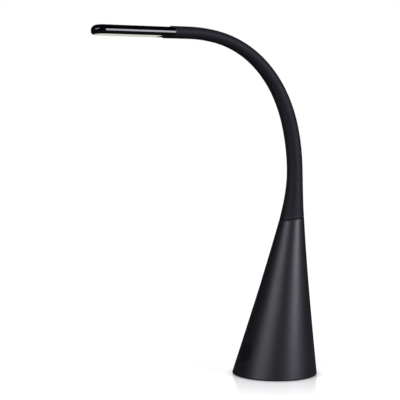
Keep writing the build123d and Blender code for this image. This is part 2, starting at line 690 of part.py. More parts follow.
def touch_lead():
    """From the back of the touch board to its connector."""
    start = (TOUCH * Pos(0, 0, -TOUCH_SEAT_DEPTH - TOUCH_BOARD_THICKNESS - LEAD_GAP)).position
    mouth = TOUCH_CONNECTOR_X - CONNECTOR_LENGTH / 2 - LEAD_GAP
    level = BOARD_TOP + CONNECTOR_HEIGHT / 2
    third = (mouth - start.X) / 3
    route = ((start.X, start.Z), (start.X + third, start.Z - 0.6),
             (mouth - third, level - 0.4), (mouth, level))
    return inner_lead(route, TOUCH_LEAD_RADIUS)


def build_base():
    plate_screw = countersunk_screw(PLATE_SCREW_HEAD, PLATE_SCREW_RADIUS, PLATE_SCREW_LENGTH)
    weight_screw = countersunk_screw(WEIGHT_SCREW_HEAD, WEIGHT_SCREW_RADIUS, WEIGHT_SCREW_LENGTH)
    board_screw = Rot(180, 0, 0) * screw(
        BOARD_SCREW_HEAD, BOARD_SCREW_HEAD_HEIGHT, BOARD_SCREW_RADIUS, BOARD_SCREW_LENGTH)
    touch_screw = screw(
        TOUCH_SCREW_HEAD, TOUCH_SCREW_HEAD_HEIGHT, TOUCH_SCREW_RADIUS, TOUCH_SCREW_LENGTH)
    save("base_shell", base_shell())
    save("base_plate", base_plate())
    save("foot_pad", foot_pad())
    save("base_weight", base_weight())
    save("plate_screws", group(Pos(x, y, PLATE_BOTTOM) * plate_screw for x, y in shell_boss_places()))
    save("weight_screws", group(Pos(x, y, PLATE_BOTTOM) * weight_screw for x, y in weight_screw_places()))
    save("driver_board", driver_board())
    save("driver_components", driver_components())
    save("board_connectors", board_connectors())
    save("board_screws", group(Pos(x, y, BOARD_TOP) * board_screw for x, y in board_hole_places()))
    save("touch_cap", touch_cap())
    save("touch_foam", disc(TOUCH, TOUCH_WINDOW_RADIUS - FOAM_FIT, -TOUCH_SEAT_DEPTH, -TOUCH_THICKNESS))
    save("touch_board", touch_board())
    save("touch_screws", group(
        on_touch(side, -TOUCH_SEAT_DEPTH - TOUCH_BOARD_THICKNESS) * touch_screw for side in (-1, 1)))
    save("power_jack", power_jack())
    save("jack_pin", jack_pin())
    save("jack_lead", jack_lead())
    save("touch_lead", touch_lead())
    save("neck_ferrule", neck_ferrule())
    save("ferrule_washer", ferrule_washer())
    save("ferrule_nut", ferrule_nut())
    save("sleeve_root", sleeve_root())
    save("core_root", core_root())
    save("lead_root", lead_root())


# =====================================================================================
# Neck links
# =====================================================================================

def sleeve_link(link):
    """A stretch of tapering sleeve, socket below and ball above."""
    steps = 4
    end = link.length + ball_overrun(link)
    sleeve = loft([link.ring(end * step / steps) for step in range(steps + 1)])
    sleeve -= link.tube(CORE_RADIUS + SLEEVE_FIT, 0, end)
    return start_in_socket(end_in_ball(sleeve, link), link.plane(0), link.start)


def core_link(link):
    end = link.length + ball_overrun(link)
    core = link.tube(CORE_RADIUS, 0, end) - link.tube(CORE_BORE, 0, end)
    return start_in_socket(end_in_ball(core, link), link.plane(0), link.start)


def lead_link(link):
    lead = link.tube(LEAD_RADIUS, 0, link.length + ball_overrun(link))
    return start_in_socket(end_in_ball(lead, link), link.plane(0), link.start)


def build_neck():
    for number, link in enumerate(LINKS, start=1):
        save(f"sleeve_link_{number}", sleeve_link(link))
        save(f"core_link_{number}", core_link(link))
        save(f"lead_link_{number}", lead_link(link))


# =====================================================================================
# Head, drawn on its own plane: x along the head, y across it, z up
# =====================================================================================

LAST = LINKS[-1]
WRIST = LAST.start + LAST.length                            # the last pivot, along the neck
WRIST_PLANE = LAST.plane(LAST.length)
HEAD = Plane(WRIST_PLANE.origin, x_dir=WRIST_PLANE.z_dir,
             z_dir=Vector(0, 1, 0).cross(WRIST_PLANE.z_dir))
HEAD_START = WRIST_LENGTH
HEAD_TIP = HEAD_START + HEAD_LENGTH
NOSE_CENTRE = HEAD_TIP - HEAD_HALF_WIDTH
HEAD_BOTTOM = -HEAD_HEIGHT / 2
HEAD_TOP = HEAD_HEIGHT / 2
CEILING = HEAD_TOP - HEAD_WALL
TRAY_FLOOR = HEAD_BOTTOM + HEAD_WALL
PARTING = -PARTING_DROP
RIM_TOP = PARTING + TRAY_RIM_RISE
RIM_START = HEAD_START + HEAD_WALL + TRAY_FIT
LIP_TOP = TRAY_FLOOR + DIFFUSER_LIP_THICKNESS
SPREADER_HALF_WIDTH = HEAD_HALF_WIDTH - TOP_ROUNDING - SPREADER_EDGE
LED_BOARD_HALF_WIDTH = SPREADER_HALF_WIDTH - LED_BOARD_EDGE
SPREADER_TOP = CEILING - BOND_LINE
SPREADER_BOTTOM = SPREADER_TOP - SPREADER_THICKNESS
LED_BOARD_BOTTOM = SPREADER_BOTTOM - LED_BOARD_THICKNESS
LED_BOTTOM = LED_BOARD_BOTTOM - LED_HEIGHT
WINDOW_START = HEAD_START + WINDOW_INSET
LED_BOARD_START = WINDOW_START + LED_BOARD_INSET
COLLAR_RADIUS = NECK_TIP_RADIUS
COLLAR_END = HEAD_START + COLLAR_LENGTH
CUP_OUTER = CORE_RADIUS + FERRULE_CUP_WALL
CUP_END = FERRULE_CUP_BACK + FERRULE_CUP_LENGTH
REAR = (Align.MAX, Align.CENTER, Align.CENTER)


def bullet(half_width, start, bottom, top):
    """A flat bar with a round nose, concentric with the head's own nose."""
    outline = Pos(start, 0) * Rectangle(
        NOSE_CENTRE - start, 2 * half_width, align=(Align.MIN, Align.CENTER))
    outline += Pos(NOSE_CENTRE, 0) * Circle(half_width)
    return Pos(0, 0, bottom) * extrude(outline, top - bottom)


def head_form(inset=0.0, start=HEAD_START):
    """The head's rounded bar, drawn in by a wall, and cut square at its rear end."""
    run_out = 2 * TOP_ROUNDING
    bar = bullet(HEAD_HALF_WIDTH - inset, start - run_out, HEAD_BOTTOM + inset, HEAD_TOP - inset)
    bar = fillet(bar.edges().group_by(Axis.Z)[-1], TOP_ROUNDING - inset)
    bar = fillet(bar.edges().group_by(Axis.Z)[0], BOTTOM_ROUNDING - inset)
    return bar - Pos(start, 0, 0) * Box(2 * run_out, 4 * HEAD_HALF_WIDTH, 4 * HEAD_HEIGHT, align=REAR)


def above(height):
    """Everything over a height in the head."""
    return Pos(0, 0, height) * Box(4 * HEAD_TIP, HUGE, HUGE, align=LOW)


def along(radius, start, end):
    """A cylinder on the head's own axis."""
    return Pos(start, 0, 0) * Rot(0, 90, 0) * Cylinder(radius, end - start, align=LOW)


def upright(place, radius, start, end):
    """A cylinder across the head's thickness, at a place in its plan."""
    return Pos(*place, start) * Cylinder(radius, end - start, align=LOW)


def collar_form(extra=0.0):
    """The collar's round body with its rounded front end."""
    body = along(COLLAR_RADIUS + extra, HEAD_START, COLLAR_END + extra)
    return fillet(body.edges().group_by(Axis.X)[-1], COLLAR_ROUNDING)


def head_screw_places():
    for side in (-1, 1):
        yield HEAD_START + HEAD_SCREW_OFFSET, side * HEAD_SCREW_SIDE


def head_cover():
    """The glossy top: a rounded bar shell with a gate for the collar in its rear wall."""
    cover = (head_form() - head_form(HEAD_WALL, HEAD_START + HEAD_WALL)) & above(PARTING)
    for place in head_screw_places():
        cover += upright(place, HEAD_BOSS_RADIUS, RIM_TOP + TRAY_FIT, HEAD_TOP) & head_form()
        cover -= upright(place, HEAD_SCREW_RADIUS + SCREW_FIT, HEAD_BOTTOM,
                         HEAD_BOTTOM + HEAD_SCREW_SINK + HEAD_SCREW_LENGTH + SEAT_GAP)
    gate = along(COLLAR_RADIUS + COLLAR_FIT, HEAD_START - OVERCUT, COLLAR_END)
    return cover - (gate - above(CEILING))


def window(half_width, start, bottom, top):
    """The diffuser's outline: round at the nose, small corners at the rear."""
    pane = bullet(half_width, start, bottom, top)
    return fillet(pane.edges().filter_by(Axis.Z).group_by(Axis.X)[0], WINDOW_CORNER)


def head_tray():
    """The head's underside: a frame for the diffuser with a rim that locates the cover."""
    inside = head_form(HEAD_WALL + TRAY_FIT, RIM_START)
    tray = head_form() - above(PARTING)
    tray += (inside & above(PARTING - TRAY_RIM_RISE)) - above(RIM_TOP)
    inner = HEAD_HALF_WIDTH - HEAD_WALL - TRAY_FIT - TRAY_RIM
    tray -= bullet(inner, RIM_START + TRAY_RIM, TRAY_FLOOR, HEAD_TOP)
    for place in head_screw_places():
        tray += upright(place, HEAD_BOSS_RADIUS, PARTING - TRAY_RIM_RISE, RIM_TOP) & inside
        tray += upright(place, HEAD_BOSS_RADIUS, HEAD_BOTTOM, PARTING - TRAY_RIM_RISE) & head_form()
        tray -= upright(place, HEAD_SCREW_RADIUS + SCREW_FIT, HEAD_BOTTOM, HEAD_TOP)
        tray -= upright(place, HEAD_SCREW_HEAD + SCREW_FIT, HEAD_BOTTOM, HEAD_BOTTOM + HEAD_SCREW_SINK)
    tray -= window(WINDOW_HALF_WIDTH, WINDOW_START, 2 * HEAD_BOTTOM, HEAD_TOP)
    tray -= window(WINDOW_HALF_WIDTH + DIFFUSER_LIP, WINDOW_START - DIFFUSER_LIP, TRAY_FLOOR, LIP_TOP)
    tray -= collar_form(COLLAR_FIT)
    return tray - along(COLLAR_RADIUS + COLLAR_FIT, 0, HEAD_START + TOP_ROUNDING)


def diffuser():
    """The opal panel: its lip lies on the tray's floor and its face is just short of flush."""
    half = WINDOW_HALF_WIDTH - DIFFUSER_FIT
    start = WINDOW_START + DIFFUSER_FIT
    overhang = DIFFUSER_LIP - DIFFUSER_FIT
    pane = window(half, start, HEAD_BOTTOM + DIFFUSER_RECESS, TRAY_FLOOR)
    return pane + window(half + overhang, start - overhang, TRAY_FLOOR, LIP_TOP)


def led_places():
    """Where the LEDs stand, evenly along the channel's throat."""
    throat = WINDOW_START + CONNECTOR_ZONE + REFLECTOR_HALF_WIDTH - REFLECTOR_THROAT
    first = throat + LED_FIT + LED_LENGTH / 2
    pitch = (NOSE_CENTRE - first) / (LED_COUNT - 1)
    return [first + pitch * number for number in range(LED_COUNT)]


def reflector():
    """A white channel that widens from the LEDs to the diffuser."""
    top = LED_BOARD_BOTTOM - BOND_LINE
    start = WINDOW_START + CONNECTOR_ZONE
    mouth_half = REFLECTOR_HALF_WIDTH - REFLECTOR_LIP
    mouth = bullet(mouth_half, start + REFLECTOR_LIP, LIP_TOP, top)
    mouth = chamfer(mouth.edges().group_by(Axis.Z)[-1], mouth_half - REFLECTOR_THROAT)
    return bullet(REFLECTOR_HALF_WIDTH, start, LIP_TOP, top) - mouth


def grub_plane():
    """At the side of the ferrule's spigot, facing out across the head."""
    return Plane((HEAD_START + GRUB_OFFSET, SPIGOT_RADIUS, 0), x_dir=(1, 0, 0), z_dir=(0, 1, 0))


def head_collar():
    """The round collar that grips the ferrule's spigot and shows as a chin under the head."""
    collar = collar_form() - above(CEILING - COLLAR_FIT)
    collar -= along(SPIGOT_RADIUS + SCREW_FIT, HEAD_START, CUP_END + SPIGOT_LENGTH + COLLAR_FIT)
    collar -= along(CORE_BORE, HEAD_START, COLLAR_END)
    return collar - disc(grub_plane(), GRUB_RADIUS + SCREW_FIT, 0, COLLAR_RADIUS)


def head_ferrule():
    """The ferrule crimped on the gooseneck's end, with a spigot that enters the head."""
    spigot_end = CUP_END + SPIGOT_LENGTH
    ferrule = along(CUP_OUTER, FERRULE_CUP_BACK, CUP_END) + along(SPIGOT_RADIUS, CUP_END, spigot_end)
    ferrule -= along(CORE_RADIUS + SCREW_FIT, FERRULE_CUP_BACK, CUP_END - FERRULE_CUP_WALL)
    return ferrule - along(CORE_BORE, FERRULE_CUP_BACK, spigot_end)


def led_connector():
    """The lead's connector at the rear end of the LED board."""
    block = Box(LED_CONNECTOR_LENGTH, CONNECTOR_WIDTH, LED_CONNECTOR_HEIGHT,
                align=(Align.MIN, Align.CENTER, Align.MAX))
    return Pos(LED_BOARD_START, 0, LED_BOARD_BOTTOM) * block


def wrist_socket(blank):
    """Hollow a piece of the head's root to the last pivot's socket."""
    return start_in_socket(blank, Plane((0, 0, 0), x_dir=(0, 1, 0), z_dir=(1, 0, 0)), WRIST)


def sleeve_tip():
    """The sleeve's last stretch, from the wrist's socket to the cover."""
    sleeve = along(NECK_TIP_RADIUS, 0, HEAD_START - SEAT_GAP)
    sleeve -= along(CUP_OUTER + SLEEVE_FIT, FERRULE_CUP_BACK - SLEEVE_FIT, HEAD_START)
    return wrist_socket(sleeve - along(CORE_RADIUS + SLEEVE_FIT, -OVERCUT, HEAD_START))


def core_tip():
    end = CUP_END - FERRULE_CUP_WALL - SEAT_GAP
    return wrist_socket(along(CORE_RADIUS, 0, end) - along(CORE_BORE, -OVERCUT, end))


def lead_tip():
    return wrist_socket(along(LEAD_RADIUS, 0, LED_BOARD_START - LEAD_GAP))


def build_head():
    pieces = {
        "head_cover": head_cover(),
        "head_tray": head_tray(),
        "diffuser": diffuser(),
        "reflector": reflector(),
        "heat_spreader": bullet(SPREADER_HALF_WIDTH, LED_BOARD_START, SPREADER_BOTTOM, SPREADER_TOP),
        "led_board": bullet(LED_BOARD_HALF_WIDTH, LED_BOARD_START, LED_BOARD_BOTTOM, SPREADER_BOTTOM),
        "led_chips": group(Pos(x, 0, LED_BOTTOM) * Box(LED_LENGTH, LED_WIDTH, LED_HEIGHT, align=LOW)
                           for x in led_places()),
        "led_connector": led_connector(),
        "head_collar": head_collar(),
        "head_ferrule": head_ferrule(),
        "grub_screw": disc(grub_plane(), GRUB_RADIUS, SEAT_GAP, GRUB_LENGTH),
        "head_screws": group(
            Pos(x, y, HEAD_BOTTOM + HEAD_SCREW_SINK)
            * screw(HEAD_SCREW_HEAD, HEAD_SCREW_HEAD_HEIGHT, HEAD_SCREW_RADIUS, HEAD_SCREW_LENGTH)
            for x, y in head_screw_places()),
        "sleeve_tip": sleeve_tip(),
        "core_tip": core_tip(),
        "lead_tip": lead_tip(),
    }
    for name, piece in pieces.items():
        save(name, HEAD * piece)


build_base()
build_neck()
build_head()
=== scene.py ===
"""Looks of a gooseneck desk lamp, dressed over its frame of solids.

A leaning cone base in satin black carries a silicone-sleeved neck that flares out of it,
tapers as it arches forward and ends in a slim gloss black head with an opal panel below.
Sizes are in millimetres and headings in degrees until a mesh is written in metres.
"""

import logging
import math
from dataclasses import dataclass
from enum import Enum
from typing import Mapping, Optional, Sequence

import bmesh
import bpy
import numpy as np
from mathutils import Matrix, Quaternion, Vector


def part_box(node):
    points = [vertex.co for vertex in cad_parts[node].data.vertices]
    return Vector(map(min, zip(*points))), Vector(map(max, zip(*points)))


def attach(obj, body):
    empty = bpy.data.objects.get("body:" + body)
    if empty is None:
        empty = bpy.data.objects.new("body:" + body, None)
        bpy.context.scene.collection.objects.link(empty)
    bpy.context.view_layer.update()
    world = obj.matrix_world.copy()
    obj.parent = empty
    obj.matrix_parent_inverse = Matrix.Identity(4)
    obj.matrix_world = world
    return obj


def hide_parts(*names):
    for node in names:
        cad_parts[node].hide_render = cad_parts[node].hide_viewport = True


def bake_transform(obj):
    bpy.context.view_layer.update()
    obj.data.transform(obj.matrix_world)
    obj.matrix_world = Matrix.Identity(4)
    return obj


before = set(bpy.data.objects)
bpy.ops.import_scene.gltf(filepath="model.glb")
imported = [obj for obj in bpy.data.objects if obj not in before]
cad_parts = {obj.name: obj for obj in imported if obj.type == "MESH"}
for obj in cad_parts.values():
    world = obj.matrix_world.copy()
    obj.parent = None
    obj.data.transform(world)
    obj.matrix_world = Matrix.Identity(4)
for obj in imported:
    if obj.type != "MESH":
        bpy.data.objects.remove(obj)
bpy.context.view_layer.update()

MM = 0.001
MERGE_MM = 0.0005       # points nearer than this become one, which closes poles and spines
LOG = logging.getLogger("lamp")
Rings = np.ndarray      # rows of points, rows x around x 3


# ---------------------------------------------------------------------------
# Small helpers
# ---------------------------------------------------------------------------

def linear(hex_colour: str) -> tuple[float, float, float, float]:
    """Turn an sRGB hex colour to linear light.

    Args:
        hex_colour: the colour as "#rrggbb".

    Returns:
        Red, green, blue and an alpha of one.
    """
    code = int(hex_colour.lstrip("#"), 16)
    srgb = np.array([code >> shift & 255 for shift in (16, 8, 0)]) / 255
    light = np.where(srgb <= 0.04045, srgb / 12.92, ((srgb + 0.055) / 1.055) ** 2.4)
    return (*map(float, light), 1.0)


def add(tree: bpy.types.NodeTree, kind: str, settings: Optional[Mapping] = None,
        links: Optional[Mapping] = None) -> bpy.types.Node:
    """Add a node to a tree.

    Args:
        tree: the tree that gets the node.
        kind: the identifier of the node's type.
        settings: values by attribute name, or by a socket's name or number.
        links: output sockets by the name or number of the input that they feed.

    Returns:
        The new node.
    """
    made = tree.nodes.new(kind)
    for key, value in (settings or {}).items():
        if isinstance(key, str) and hasattr(made, key):
            setattr(made, key, value)
        else:
            made.inputs[key].default_value = value
    for key, source in (links or {}).items():
        tree.links.new(source, made.inputs[key])
    return made


def smooth(share: np.ndarray) -> np.ndarray:
    """Ease from 0 to 1 with level ends: 3t^2 - 2t^3 of the clipped share."""
    t = np.clip(share, 0.0, 1.0)
    return t * t * (3 - 2 * t)


def angles(count: int) -> np.ndarray:
    """Equal steps round a circle, without the last one that repeats the first."""
    return np.arange(count) * (2 * math.pi / count)


# ---------------------------------------------------------------------------
# Finishes
# ---------------------------------------------------------------------------

class Relief(Enum):
    """What left a surface's fine relief: the texture node and its settings."""

    SPARK = ("ShaderNodeTexNoise", (("Detail", 3.0), ("Roughness", 0.65)), "Fac")
    POLISH = ("ShaderNodeTexNoise", (("Detail", 0.0), ("Roughness", 0.4)), "Fac")
    CAST = ("ShaderNodeTexNoise", (("Detail", 5.0), ("Roughness", 0.75)), "Fac")
    CELLS = ("ShaderNodeTexVoronoi", (("Randomness", 1.0),), "Distance")
    TURNED = ("ShaderNodeTexWave", (("bands_direction", "X"), ("Distortion", 1.5),
                                    ("Detail", 2.0)), "Fac")


@dataclass(frozen=True)
class Finish:
    """A finish: what the piece is made of, how it shines and what its making left on it.

    Lengths are real ones in millimetres.  Relief goes through a bump of that depth, and
    slow blotches shift the colour and the roughness, as handling and moulding do.
    """

    name: str
    colour: str
    roughness: float
    relief: Relief
    grain_mm: float
    depth_mm: float
    metallic: float = 0.0
    ior: float = 1.5
    colour_shift: float = 0.12
    roughness_shift: float = 0.05
    blotch_mm: float = 35.0
    glow: float = 0.0

    def material(self) -> bpy.types.Material:
        """Build the finish as a node material.

        Returns:
            The material, on Object coordinates throughout.
        """
        material = bpy.data.materials.new(self.name)
        material.use_nodes = True
        tree = material.node_tree
        tree.nodes.clear()
        place = add(tree, "ShaderNodeTexCoord").outputs["Object"]
        kind, settings, output = self.relief.value
        grain = add(tree, kind, dict(settings, Scale=1 / (self.grain_mm * MM)), {"Vector": place})
        blotch = add(tree, "ShaderNodeTexNoise",
                     {"Scale": 1 / (self.blotch_mm * MM), "Detail": 2.0}, {"Vector": place})
        bump = add(tree, "ShaderNodeBump", {"Strength": 1.0, "Distance": self.depth_mm * MM},
                   {"Height": grain.outputs[output]})
        roughness = add(tree, "ShaderNodeMapRange", {
            "To Min": self.roughness - self.roughness_shift,
            "To Max": self.roughness + self.roughness_shift}, {"Value": blotch.outputs["Fac"]})
        colour = self.blotched(tree, blotch.outputs["Fac"])
        shader = add(tree, "ShaderNodeBsdfPrincipled", {
            "Metallic": self.metallic, "IOR": self.ior, "Emission Strength": self.glow}, {
            "Base Color": colour, "Roughness": roughness.outputs["Result"],
            "Normal": bump.outputs["Normal"]})
        if self.glow:
            tree.links.new(self.glow_colour(tree, colour, place), shader.inputs["Emission Color"])
        add(tree, "ShaderNodeOutputMaterial", {}, {"Surface": shader.outputs["BSDF"]})
        return material

    def blotched(self, tree: bpy.types.NodeTree, blotch: bpy.types.NodeSocket) -> bpy.types.NodeSocket:
        """Shift the colour a little between blotches.

        Args:
            tree: the material's tree.
            blotch: the blotches, from 0 to 1.

        Returns:
            The colour's socket.
        """
        plain = linear(self.colour)[:3]
        low, high = ((*(c * (1 + side * self.colour_shift) for c in plain), 1.0) for side in (-1, 1))
        return add(tree, "ShaderNodeMix", {"data_type": "RGBA", 6: low, 7: high},
                   {0: blotch}).outputs[2]

    def glow_colour(self, tree: bpy.types.NodeTree, colour: bpy.types.NodeSocket,
                    place: bpy.types.NodeSocket) -> bpy.types.NodeSocket:
        """The colour that the finish gives off where it glows: its own."""
        return colour


@dataclass(frozen=True)
class LitPanel(Finish):
    """Opal acrylic lit from behind: a row of LEDs shows through it as slow, faint crests."""

    pitch_mm: float = 5.66
    crest: float = 0.06

    def glow_colour(self, tree: bpy.types.NodeTree, colour: bpy.types.NodeSocket,
                    place: bpy.types.NodeSocket) -> bpy.types.NodeSocket:
        """Brighten the panel over each LED.

        Args:
            tree: the material's tree.
            colour: the panel's own colour.
            place: Object coordinates; the row of LEDs runs along X.

        Returns:
            The colour of the light that comes through.
        """
        waves = add(tree, "ShaderNodeTexWave", {
            "bands_direction": "X", "wave_profile": "SIN",
            "Scale": math.pi / 10 / (self.pitch_mm * MM)}, {"Vector": place})
        level = add(tree, "ShaderNodeMapRange", {"To Min": 1 - self.crest, "To Max": 1.0},
                    {"Value": waves.outputs["Fac"]})
        return add(tree, "ShaderNodeMix", {"data_type": "RGBA", "blend_type": "MULTIPLY", 0: 1.0},
                   {6: colour, 7: level.outputs["Result"]}).outputs[2]


class Surface(Enum):
    """Every finish on the lamp.  Each is named for its material and its making."""

    # ABS from a spark-eroded mould: fine dry texture that smears highlights into satin bands.
    SATIN_ABS = Finish("satin_abs", "#17171c", 0.46, Relief.SPARK, 0.5, 0.008, ior=1.6,
                       colour_shift=0.06, roughness_shift=0.025)
    # Silicone skin over the gooseneck: matt, with a slight blue in its black.
    SILICONE = Finish("moulded_silicone", "#16151d", 0.62, Relief.SPARK, 0.35, 0.012, ior=1.41,
                      colour_shift=0.10)
    # ABS from a mirror-polished mould: deep gloss with the faintest long waves.
    PIANO_ABS = Finish("polished_abs", "#050506", 0.09, Relief.POLISH, 9.0, 0.004, ior=1.35,
                       colour_shift=0.1, roughness_shift=0.015)
    # The collar is ABS too, from a mould polished less.
    COLLAR_ABS = Finish("semi_gloss_abs", "#0b0b0c", 0.2, Relief.POLISH, 4.0, 0.004,
                        roughness_shift=0.04)
    # Touch cap, of the same ABS as the shell from a finer mould, which leaves it smoother.
    TOUCH_ABS = Finish("touch_abs", "#17171c", 0.36, Relief.SPARK, 0.3, 0.004,
                       roughness_shift=0.03)
    # Opal acrylic in front of the LEDs, faintly frosted and lit from behind.
    OPAL_ACRYLIC = LitPanel("opal_acrylic", "#f6f2e8", 0.38, Relief.SPARK, 0.6, 0.004,
                            colour_shift=0.01, glow=0.62)
    # Dark ABS of the floor plate, straight from the mould.
    FLOOR_ABS = Finish("floor_abs", "#17171a", 0.55, Relief.SPARK, 0.8, 0.02)
    # Die-cut rubber foot: dull, with a coarse grain.
    FOOT_RUBBER = Finish("foot_rubber", "#1a1a1b", 0.82, Relief.SPARK, 0.9, 0.05)
    CAST_IRON = Finish("cast_iron", "#4c4c4e", 0.6, Relief.CAST, 1.6, 0.12, metallic=0.85)
    ZINC_STEEL = Finish("zinc_plated_steel", "#b4b6b9", 0.32, Relief.TURNED, 0.5, 0.004,
                        metallic=1.0)
    NICKEL_STEEL = Finish("nickel_plated_steel", "#c3c1bb", 0.25, Relief.TURNED, 0.3, 0.003,
                          metallic=1.0)
    SPRING_STEEL = Finish("oiled_spring_steel", "#6d6c6a", 0.38, Relief.TURNED, 0.6, 0.004,
                          metallic=1.0)
    BRASS = Finish("turned_brass", "#c79b52", 0.28, Relief.TURNED, 0.3, 0.003, metallic=1.0)
    SOLDER_MASK = Finish("solder_mask", "#1f5a35", 0.4, Relief.CELLS, 2.4, 0.03)
    COMPONENT_EPOXY = Finish("moulded_epoxy", "#1b1b1c", 0.5, Relief.SPARK, 0.4, 0.01)
    NYLON = Finish("natural_nylon", "#ded8c8", 0.5, Relief.SPARK, 0.6, 0.01)
    LEAD_PVC = Finish("lead_pvc", "#141415", 0.45, Relief.SPARK, 0.5, 0.01)
    FOAM = Finish("conductive_foam", "#2b2b2d", 0.95, Relief.CELLS, 0.6, 0.12)
    WHITE_PC = Finish("reflector_white", "#eeeeea", 0.55, Relief.SPARK, 0.5, 0.006)
    ROLLED_ALUMINIUM = Finish("rolled_aluminium", "#c9cbce", 0.33, Relief.TURNED, 0.25, 0.003,
                              metallic=1.0)
    LED_PHOSPHOR = Finish("led_phosphor", "#efe09a", 0.35, Relief.CELLS, 0.5, 0.01)

    def material(self) -> bpy.types.Material:
        """The finish's one material, built when it is first asked for."""
        return bpy.data.materials.get(self.value.name) or self.value.material()


class Slot(Enum):
    """Names of material slots for the new pieces; a hose carries one, but its finish comes from its
    surface.
    """

    SLEEVE = "sleeve_silicone"
    CORE = "coil_steel"
    LEAD = "lead_jacket"
    SCREW = "steel"


# ---------------------------------------------------------------------------
# Meshes
# ---------------------------------------------------------------------------

@dataclass
class Skin:
    """A surface worked out as rows of points, and how its edges close."""

    rings: Rings
    close_rows: bool = False        # the last row joins the first, as on a hollow ring
    cap_first: bool = False
    cap_last: bool = False

    def faces(self) -> list[np.ndarray]:
        """Index the skin's faces.

        Quads join neighbouring points of neighbouring rows, round the closed direction;
        a cap is the row's own polygon.

        Returns:
            Arrays of point numbers, one row a face.
        """
        rows, around = self.rings.shape[:2]
        last = rows if self.close_rows else rows - 1
        i, j = np.meshgrid(np.arange(last), np.arange(around), indexing="ij")
        up, on = (i + 1) % rows, (j + 1) % around
        quads = np.stack([i * around + j, i * around + on, up * around + on, up * around + j], -1)
        found = [quads.reshape(-1, 4)]
        if self.cap_first:
            found.append(np.arange(around)[None, ::-1])
        if self.cap_last:
            found.append((rows - 1) * around + np.arange(around)[None, :])
        return found


def make_piece(name: str, skins: Sequence[Skin], surface: Surface,
               crease: float = 35.0) -> bpy.types.Object:
    """Write skins into one mesh object at the origin.

    Args:
        name: the piece's name.
        skins: its surfaces, in millimetres.
        surface: its finish.
        crease: edges sharper than this many degrees stay crisp.

    Returns:
        The object, with its faces pointing outwards.
    """
    mesh = bpy.data.meshes.new(name)
    points = np.concatenate([skin.rings.reshape(-1, 3) for skin in skins])
    starts = np.cumsum([0] + [skin.rings.shape[0] * skin.rings.shape[1] for skin in skins])
    groups = [faces + start for skin, start in zip(skins, starts) for faces in skin.faces()]
    corners = np.concatenate([g.ravel() for g in groups])
    sizes = np.concatenate([np.full(len(g), g.shape[1]) for g in groups])
    mesh.vertices.add(len(points))
    mesh.vertices.foreach_set("co", (points * MM).astype(np.float32).ravel())
    mesh.loops.add(len(corners))
    mesh.loops.foreach_set("vertex_index", corners.astype(np.int32))
    mesh.polygons.add(len(sizes))
    mesh.polygons.foreach_set("loop_start", (np.cumsum(sizes) - sizes).astype(np.int32))
    mesh.polygons.foreach_set("loop_total", sizes.astype(np.int32))
    mesh.update(calc_edges=True)
    tidy_mesh(mesh)
    mesh.polygons.foreach_set("use_smooth", np.ones(len(mesh.polygons), bool))
    mesh.set_sharp_from_angle(angle=math.radians(crease))
    mesh.materials.append(surface.material())
    piece = bpy.data.objects.new(name, mesh)
    bpy.context.scene.collection.objects.link(piece)
    LOG.info("%s: %d faces in %s", name, len(mesh.polygons), surface.value.name)
    return piece


def tidy_mesh(mesh: bpy.types.Mesh) -> None:
    """Merge doubles, drop faces that they collapse and point every face outwards.

    Args:
        mesh: the mesh, changed in place.
    """
    work = bmesh.new()
    work.from_mesh(mesh)
    bmesh.ops.remove_doubles(work, verts=work.verts, dist=MERGE_MM * MM)
    bmesh.ops.dissolve_degenerate(work, edges=work.edges, dist=MERGE_MM * MM / 10)
    bmesh.ops.recalc_face_normals(work, faces=work.faces)
    work.to_mesh(mesh)
    work.free()


# ---------------------------------------------------------------------------
# The outer form
# ---------------------------------------------------------------------------

@dataclass(frozen=True)
class Cone:
    """The leaning base: level circles whose centres move back as they rise."""

    foot_radius: float = 53.3
    seam_radius: float = 15.55
    seam_height: float = 194.0
    setback: float = 26.74
    seam_tilt: float = 8.5
    foot_slope: float = -0.207
    seam_slope: float = -0.166
    seam_rounds: int = 12           # of the search for the seam's height

    def radius(self, height: np.ndarray) -> np.ndarray:
        """Radius at a height: a cubic that meets both slopes, and a straight run above it."""
        t = np.minimum(height / self.seam_height, 1.0)
        rise = self.seam_height
        inside = ((2 * t**3 - 3 * t**2 + 1) * self.foot_radius
                  + (t**3 - 2 * t**2 + t) * self.foot_slope * rise
                  + (3 * t**2 - 2 * t**3) * self.seam_radius
                  + (t**3 - t**2) * self.seam_slope * rise)
        return inside + np.maximum(height - rise, 0.0) * self.seam_slope

    def point(self, angle: np.ndarray, height: np.ndarray,
              inset: np.ndarray | float = 0.0) -> Rings:
        """Points on the cone: a level circle of the height's radius about its set-back centre.

        Args:
            angle: radians from +X towards +Y.
            height: over the table, broadcast against the angle.
            inset: how far inside the surface the points lie, level.

        Returns:
            Points, with the coordinates on the last axis.
        """
        radius = self.radius(height) - inset
        back = self.setback * height / self.seam_height
        x, y, z = np.broadcast_arrays(back + radius * np.cos(angle), radius * np.sin(angle), height)
        return np.stack([x, y, z], -1)

    def seam_at(self, angle: np.ndarray) -> np.ndarray:
        """Height of the tilted seam at each angle: the plane and the cone, met by iteration."""
        height = np.full_like(angle, self.seam_height)
        slope = math.tan(math.radians(self.seam_tilt))
        for _ in range(self.seam_rounds):
            across = self.point(angle, height)[..., 0] - self.setback
            height = self.seam_height + slope * across
        return height


